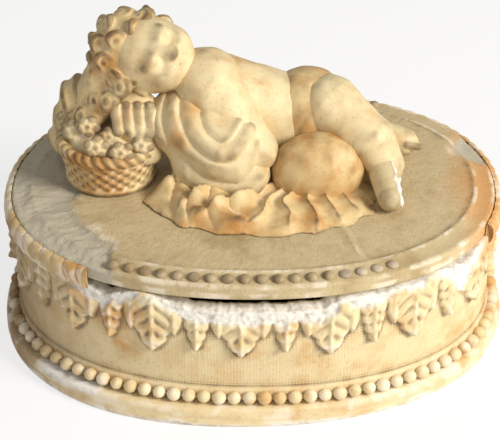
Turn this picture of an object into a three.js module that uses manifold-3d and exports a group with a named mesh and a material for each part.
import * as THREE from "three";
import { mergeVertices } from "three/addons/utils/BufferGeometryUtils.js";
import Module from "manifold-3d";

const wasm = await Module();
wasm.setup();

// Driving sizes, in millimetres. Z is up and the box stands on Z = 0.
const PLINTH_LENGTH = 170;
const PLINTH_WIDTH = 127.5;
const OVAL_POWER = 2.2;
const PLINTH_TWIST = THREE.MathUtils.degToRad(3);
const PLINTH_HEIGHT = 7.2;
const PLINTH_EDGE = 1.2;
const FLOOR_THICKNESS = 4;
const GAP = 0.3;

const WALL_INSET = 5.7;
const WALL_THICKNESS = 5.2;
const WALL_HEIGHT = 38.9;
const BREAK_DEPTH = 3.6;
const BREAK_CENTRE = THREE.MathUtils.degToRad(-88);
const BREAK_HALF_WIDTH = THREE.MathUtils.degToRad(52);

const BEAD_RADIUS = 2.1;
const BEAD_LIFT = 2.1;
const LEAF_PAIRS = 16;
const LEAF_THICKNESS = 1.4;
const LEAF_TOP_DROP = 3.2;
const LARGE_LEAF_LENGTH = 19;
const SMALL_LEAF_LENGTH = 15;
const LEAF_VALLEY_LENGTH = 9;
const RIM_WIDTH = 3;
const RIM_HEIGHT = 7.6;
const RIM_START = THREE.MathUtils.degToRad(-22);
const RIM_END = THREE.MathUtils.degToRad(232);

const LID_THICKNESS = 5.2;
const LID_CROWN = 1.3;
const LID_BORDER_WIDTH = 6.4;
const FLANGE_DEPTH = 3.2;
const FLANGE_CLEARANCE = 0.6;
const BORDER_BEAD_RADIUS = 1.5;
const BORDER_START = THREE.MathUtils.degToRad(-140);
const BORDER_END = THREE.MathUtils.degToRad(140);

const BASKET_CENTRE = new THREE.Vector3(-47, 3, 0);
const BASKET_FOOT_RADIUS = 14;
const BASKET_RIM_RADIUS = 16.5;
const BASKET_HEIGHT = 15;
const DRAPERY_CENTRE = new THREE.Vector3(3, -13, 0);
const DRAPERY_LENGTH = 74;
const DRAPERY_WIDTH = 40;
const DRAPERY_HEIGHT = 6;
const DRAPERY_FOLDS = 17;
const DRAPERY_FOLD_DEPTH = 1.6;

const COLUMNS = 60;
const halfLength = PLINTH_LENGTH / 2;
const halfWidth = PLINTH_WIDTH / 2;
const wallBottom = PLINTH_HEIGHT + GAP;
const wallTop = wallBottom + WALL_HEIGHT;
const lidBottom = wallTop + GAP;
const lidEdgeTop = lidBottom + LID_THICKNESS;
const lidTop = lidEdgeTop + LID_CROWN;
const lidGround = lidTop + GAP;

const materials = {
  cream: new THREE.MeshStandardMaterial({ color: 0xd9bf93, roughness: 0.62, metalness: 0 }),
  ochre: new THREE.MeshStandardMaterial({ color: 0xcb9356, roughness: 0.55, metalness: 0 }),
  ground: new THREE.MeshStandardMaterial({ color: 0xa99a82, roughness: 0.8, metalness: 0 }),
};
const box = new THREE.Group();

function addPiece(name, geometry, material) {
  const mesh = new THREE.Mesh(geometry, material);
  mesh.name = name;
  box.add(mesh);
  return mesh;
}

// A point of the oval, drawn in from the plinth's edge by inset.
function ovalPoint(angle, inset, height) {
  const c = Math.cos(angle);
  const s = Math.sin(angle);
  const power = 2 / OVAL_POWER;
  return new THREE.Vector3(
    (halfLength - inset) * Math.sign(c) * Math.abs(c) ** power,
    (halfWidth - inset) * Math.sign(s) * Math.abs(s) ** power,
    height,
  );
}

// A closed skin through rows of points. Ends are closed by fans, or the rows meet in a ring.
function skin(rows, { ring = true, closedRow = true } = {}) {
  const count = rows[0].length;
  const points = rows.flat();
  const faces = [];
  const rowSteps = ring ? rows.length : rows.length - 1;
  const stepCount = closedRow ? count : count - 1;
  for (let row = 0; row < rowSteps; row += 1) {
    const next = (row + 1) % rows.length;
    for (let step = 0; step < stepCount; step += 1) {
      const after = (step + 1) % count;
      const a = row * count + step;
      const b = next * count + step;
      const c = next * count + after;
      const d = row * count + after;
      faces.push(a, b, c, a, c, d);
    }
  }
  if (!closedRow) {
    for (const edge of [0, count - 1]) {
      const hub = points.length;
      points.push(centreOf(rows.map((row) => row[edge])));
      for (let row = 0; row < rows.length; row += 1) {
        const next = (row + 1) % rows.length;
        const pair = [row * count + edge, next * count + edge];
        faces.push(hub, ...(edge === 0 ? pair.reverse() : pair));
      }
    }
  } else if (!ring) {
    for (const end of [0, rows.length - 1]) {
      const hub = points.length;
      points.push(centreOf(rows[end]));
      for (let step = 0; step < count; step += 1) {
        const pair = [end * count + step, end * count + ((step + 1) % count)];
        faces.push(hub, ...(end === 0 ? pair : pair.reverse()));
      }
    }
  }
  return outward(geometryOf(points, faces));
}

function centreOf(points) {
  const sum = new THREE.Vector3();
  points.forEach((point) => sum.add(point));
  return sum.divideScalar(points.length);
}

function geometryOf(points, faces) {
  const geometry = new THREE.BufferGeometry();
  geometry.setAttribute("position", new THREE.Float32BufferAttribute(points.flatMap((p) => p.toArray()), 3));
  geometry.setIndex(faces);
  return geometry;
}

// Turns the faces over where the enclosed volume comes out negative.
function outward(geometry) {
  const position = geometry.getAttribute("position");
  const index = Array.from(geometry.getIndex().array);
  const corner = (i) => new THREE.Vector3().fromBufferAttribute(position, index[i]);
  let volume = 0;
  for (let i = 0; i < index.length; i += 3) {
    volume += corner(i).dot(corner(i + 1).cross(corner(i + 2)));
  }
  if (volume < 0) {
    for (let i = 0; i < index.length; i += 3) {
      [index[i + 1], index[i + 2]] = [index[i + 2], index[i + 1]];
    }
    geometry.setIndex(index);
  }
  return geometry;
}

// A ring of one cross-section round the oval, over all of it or between two angles.
function ovalRing(sectionAt, start = 0, end = 2 * Math.PI, columns = COLUMNS) {
  const whole = end - start > 2 * Math.PI - 1e-6;
  const rows = [];
  const last = whole ? columns - 1 : columns;
  for (let column = 0; column <= last; column += 1) {
    const angle = start + ((end - start) * column) / columns;
    rows.push(sectionAt(angle, column).map(([inset, height]) => ovalPoint(angle, inset, height)));
  }
  return skin(rows, { ring: whole });
}

// A solid oval plate from an open profile that runs from the underside to the top.
function ovalPlate(profile, columns = COLUMNS) {
  const rows = [];
  for (let column = 0; column < columns; column += 1) {
    const angle = (2 * Math.PI * column) / columns;
    rows.push(profile.map(([inset, height]) => ovalPoint(angle, inset, height)));
  }
  return skin(rows, { closedRow: false });
}

function toSolid(geometry) {
  const bare = new THREE.BufferGeometry();
  bare.setAttribute("position", geometry.getAttribute("position"));
  bare.setIndex(geometry.getIndex());
  const merged = mergeVertices(bare, 1e-4);
  return new wasm.Manifold(new wasm.Mesh({
    numProp: 3,
    vertProperties: new Float32Array(merged.getAttribute("position").array),
    triVerts: new Uint32Array(merged.getIndex().array),
  }));
}

function fromSolid(solid) {
  const pieces = solid.decompose().sort((a, b) => b.volume() - a.volume());
  const mesh = pieces[0].getMesh();
  const geometry = new THREE.BufferGeometry();
  geometry.setAttribute("position", new THREE.BufferAttribute(new Float32Array(mesh.vertProperties), 3));
  geometry.setIndex(new THREE.BufferAttribute(new Uint32Array(mesh.triVerts), 1));
  return geometry;
}

// A rounded limb between two points, or a rounded mass where both are the same.
function limb({ from, to = from, radius, toRadius = radius, flatten = [1, 1, 1] }, grow = 0) {
  const sphere = new THREE.SphereGeometry(1, 9, 7);
  const start = new THREE.Vector3(...from);
  const end = new THREE.Vector3(...to);
  const axis = end.clone().sub(start);
  const turn = new THREE.Quaternion();
  if (axis.length() > 1e-6) {
    turn.setFromUnitVectors(new THREE.Vector3(0, 1, 0), axis.clone().normalize());
  }
  const position = sphere.getAttribute("position");
  const scale = new THREE.Vector3(...flatten);
  for (let i = 0; i < position.count; i += 1) {
    const unit = new THREE.Vector3().fromBufferAttribute(position, i);
    const far = unit.y > 0;
    const size = far ? toRadius : radius;
    const offset = unit.clone().applyQuaternion(turn).multiply(scale.clone().multiplyScalar(size).addScalar(grow));
    const point = (far ? end : start).clone().add(offset);
    position.setXYZ(i, point.x, point.y, point.z);
  }
  return toSolid(sphere);
}

function joined(limbs, grow = 0) {
  return limbs.map((one) => limb(one, grow)).reduce((sum, one) => sum.add(one));
}

// Base: plinth, floor, wall with its broken front, and the ornament round it.
const plinthProfile = [
  [WALL_INSET + WALL_THICKNESS, 0],
  [0.8, 0],
  [0, PLINTH_EDGE],
  [0, PLINTH_HEIGHT - PLINTH_EDGE],
  [PLINTH_EDGE, PLINTH_HEIGHT],
  [WALL_INSET + WALL_THICKNESS, PLINTH_HEIGHT],
];
const plinth = addPiece("plinth", ovalRing(() => plinthProfile), materials.cream);
plinth.rotation.z = PLINTH_TWIST;

const floorInset = WALL_INSET + WALL_THICKNESS + GAP;
const floorPlate = addPiece("floor_plate", ovalPlate([
  [floorInset, PLINTH_HEIGHT - FLOOR_THICKNESS],
  [floorInset, PLINTH_HEIGHT],
]), materials.ground);
floorPlate.rotation.z = PLINTH_TWIST;

// How far the broken front of the wall has lost height at an angle.
function breakDrop(angle) {
  const turn = Math.atan2(Math.sin(angle - BREAK_CENTRE), Math.cos(angle - BREAK_CENTRE));
  const reach = Math.abs(turn) / BREAK_HALF_WIDTH;
  return reach >= 1 ? 0 : BREAK_DEPTH * Math.min(1, 2.2 * (1 - reach));
}

addPiece("base_wall", ovalRing((angle) => {
  const top = wallTop - breakDrop(angle);
  return [
    [WALL_INSET + WALL_THICKNESS, wallBottom],
    [WALL_INSET, wallBottom],
    [WALL_INSET, top - 1],
    [WALL_INSET + 0.6, top],
    [WALL_INSET + WALL_THICKNESS, top],
  ];
}), materials.cream);

const beadHeight = wallBottom + BEAD_LIFT;
const beadInset = WALL_INSET - BEAD_RADIUS - GAP;
addPiece("bead_string", ovalRing(() => Array.from({ length: 6 }, (_, side) => {
  const turn = (side * Math.PI) / 3;
  return [beadInset + BEAD_RADIUS * Math.cos(turn), beadHeight + BEAD_RADIUS * Math.sin(turn)];
})), materials.cream);

const leafInset = WALL_INSET - GAP;
const leafTop = wallTop - LEAF_TOP_DROP;
const LEAF_COLUMNS = LEAF_PAIRS * 8;
addPiece("leaf_frieze", ovalRing((angle, column) => {
  const phase = column % 8;
  const large = [1, 0.72, 0, 0, 0, 0, 0, 0.72][phase] * (LARGE_LEAF_LENGTH - LEAF_VALLEY_LENGTH);
  const small = [0, 0, 0, 0.55, 1, 0.55, 0, 0][phase] * (SMALL_LEAF_LENGTH - LEAF_VALLEY_LENGTH);
  const bottom = leafTop - LEAF_VALLEY_LENGTH - large - small;
  return [
    [leafInset, leafTop],
    [leafInset, bottom],
    [leafInset - 0.5, bottom + 0.4],
    [leafInset - LEAF_THICKNESS, leafTop - 2],
  ];
}, 0, 2 * Math.PI, LEAF_COLUMNS), materials.ochre);

const rimInset = WALL_INSET - GAP;
const rimBottom = leafTop + GAP;
addPiece("rim_moulding", ovalRing(() => [
  [rimInset, rimBottom],
  [rimInset - RIM_WIDTH * 0.6, rimBottom],
  [rimInset - RIM_WIDTH, rimBottom + RIM_HEIGHT * 0.4],
  [rimInset - RIM_WIDTH, rimBottom + RIM_HEIGHT * 0.75],
  [rimInset - RIM_WIDTH * 0.5, rimBottom + RIM_HEIGHT],
  [rimInset, rimBottom + RIM_HEIGHT],
], RIM_START, RIM_END), materials.ochre);

// Lid: a plate with a locating flange, its bead border and the spalled end.
const lidInset = WALL_INSET;
const flangeInset = WALL_INSET + WALL_THICKNESS + FLANGE_CLEARANCE;
const lidPlate = toSolid(ovalPlate([
  [flangeInset, lidBottom - FLANGE_DEPTH],
  [flangeInset, lidBottom],
  [lidInset, lidBottom],
  [lidInset, lidEdgeTop - 0.6],
  [lidInset + 0.6, lidEdgeTop],
  [lidInset + LID_BORDER_WIDTH, lidTop],
]));
const spall = joined([
  { from: [-80, 8, lidTop + 12], to: [-70, -22, lidTop + 12], radius: 13.4, toRadius: 13.6 },
  { from: [-74, -16, lidTop + 12], to: [-58, -38, lidTop + 12], radius: 13.4, toRadius: 13.2 },
]);
const backChip = limb({ from: [79, 22, lidEdgeTop + 1], radius: 7, flatten: [1, 1.5, 0.8] });
addPiece("lid_plate", fromSolid(lidPlate.subtract(spall).subtract(backChip)), materials.ground);

const borderInset = lidInset + LID_BORDER_WIDTH / 2;
const borderHeight = (lidEdgeTop + lidTop) / 2 + GAP;
addPiece("lid_bead_border", ovalRing(() => [
  [borderInset - 2.2, borderHeight - 0.35],
  [borderInset - 1.4, borderHeight + BORDER_BEAD_RADIUS - 0.2],
  [borderInset + 1.4, borderHeight + BORDER_BEAD_RADIUS + 0.2],
  [borderInset + 2.2, borderHeight + 0.6],
], BORDER_START, BORDER_END), materials.cream);

// Figure: a reclining child leaning on a basket of flowers, over a spread cloth.
const above = (x, y, height) => [x, y, lidGround + height];

function basketSolid(grow = 0) {
  const rows = [];
  for (let column = 0; column < 20; column += 1) {
    const angle = (2 * Math.PI * column) / 20;
    const at = (radius, height) => new THREE.Vector3(
      BASKET_CENTRE.x + (radius + grow) * Math.cos(angle),
      BASKET_CENTRE.y + (radius + grow) * Math.sin(angle),
      lidGround + height,
    );
    rows.push([
      at(BASKET_FOOT_RADIUS, -grow),
      at(BASKET_RIM_RADIUS - 1, BASKET_HEIGHT * 0.6),
      at(BASKET_RIM_RADIUS, BASKET_HEIGHT * 0.8),
      at(BASKET_RIM_RADIUS, BASKET_HEIGHT + grow),
      at(BASKET_RIM_RADIUS - 3, BASKET_HEIGHT + grow),
    ]);
  }
  return toSolid(skin(rows, { closedRow: false }));
}

function draperySolid(grow = 0) {
  const rows = [];
  const columns = DRAPERY_FOLDS * 3;
  for (let column = 0; column < columns; column += 1) {
    const angle = (2 * Math.PI * column) / columns;
    const fold = Math.cos(DRAPERY_FOLDS * angle) * DRAPERY_FOLD_DEPTH;
    const at = (share, height) => new THREE.Vector3(
      DRAPERY_CENTRE.x + (DRAPERY_LENGTH / 2 + fold + grow) * share * Math.cos(angle),
      DRAPERY_CENTRE.y + (DRAPERY_WIDTH / 2 + fold + grow) * share * Math.sin(angle),
      lidGround + height,
    );
    rows.push([at(1, -grow), at(0.98, 1.6), at(0.82, DRAPERY_HEIGHT + fold * 0.5 + grow)]);
  }
  return toSolid(skin(rows, { closedRow: false }));
}

function swagArc(x, y, z, drop, thickness) {
  const limbs = [];
  const span = 19;
  for (let step = 0; step < 4; step += 1) {
    const at = (t) => [x - span / 2 + span * t, y - 8 * Math.sin(Math.PI * t), z - drop * Math.sin(Math.PI * t) - 14 * t];
    limbs.push({ from: at(step / 4), to: at((step + 1) / 4), radius: thickness });
  }
  return limbs;
}

const figure = {
  basket: { solid: basketSolid, material: materials.ochre },
  torso: {
    limbs: [
      { from: above(-12, 14, 24), to: above(8, 13, 17), radius: 13.5, toRadius: 13 },
      { from: above(-10, 11, 8.5), to: above(12, 11, 8.5), radius: 9.5 },
    ],
    material: materials.cream,
  },
  hips: { limbs: [{ from: above(18, 15, 17), to: above(28, 13, 11.5), radius: 14.5, toRadius: 12.5 }], material: materials.ochre },
  head: {
    limbs: [
      { from: above(-33, 10, 40), radius: 14.5, flatten: [1, 0.95, 1] },
      { from: above(-27, 10, 32), radius: 7 },
    ],
    material: materials.cream,
  },
  hair: {
    limbs: [
      { from: above(-44, 14, 40), radius: 14, flatten: [0.9, 1, 1.08] },
      { from: above(-54, 8, 28), to: above(-46, 8, 32), radius: 7, toRadius: 8 },
    ],
    material: materials.ochre,
  },
  upper_arm: { limbs: [{ from: above(-17, 6, 32), to: above(-8, -9, 10), radius: 9.5, toRadius: 8 }], material: materials.cream },
  hand: {
    limbs: [
      { from: above(-39, 2, 24), radius: 8, flatten: [1.05, 0.8, 1] },
      { from: above(-38, 0, 22), to: above(-36, -2, 14), radius: 6.5, toRadius: 7 },
    ],
    material: materials.cream,
  },
  basket_flowers: {
    limbs: [
      { from: above(-56, 0, 18), radius: 6 },
      { from: above(-47, -8, 17), radius: 5 },
      { from: above(-38, -6, 17), radius: 5.5 },
      { from: above(-46, 4, 18), radius: 9, flatten: [1.4, 1, 0.6] },
    ],
    material: materials.cream,
  },
  back_drapery: {
    limbs: [{ from: above(-60, 14, 7), to: above(-56, 13, 22), radius: 8.5, toRadius: 8.5 }],
    material: materials.ochre,
  },
  knee_leg: { limbs: [{ from: above(21, -5, 6), radius: 13, flatten: [1.15, 0.85, 1.05] }], material: materials.ochre },
  top_leg: { limbs: [{ from: above(26, 10, 20), to: above(43, -4, 9), radius: 9, toRadius: 6.5 }], material: materials.cream },
  broken_foot: { limbs: [{ from: above(43, -9, 6), to: above(44, -19, 4.5), radius: 5.5, toRadius: 4.5 }], material: materials.cream },
  far_foot: { limbs: [{ from: above(40, 16, 6), to: above(53, 13, 5), radius: 6, toRadius: 5 }], material: materials.cream },
  swag_drapery: {
    limbs: [...swagArc(-2, 2, lidGround + 33, 12, 4), ...swagArc(-1, 0, lidGround + 26, 13, 4)],
    material: materials.ochre,
  },
  spread_drapery: { solid: draperySolid, material: materials.ochre },
};

// Each later piece is cut clear of the earlier ones, and of the lid that it stands on.
const floorCut = toSolid(new THREE.BoxGeometry(300, 300, 60).translate(0, 0, lidGround - 30));
let placed = floorCut;
for (const [name, piece] of Object.entries(figure)) {
  const solidWith = piece.solid ?? ((grow) => joined(piece.limbs, grow));
  addPiece(name, fromSolid(solidWith(0).subtract(placed)), piece.material);
  placed = placed.add(solidWith(GAP));
}

export default box;
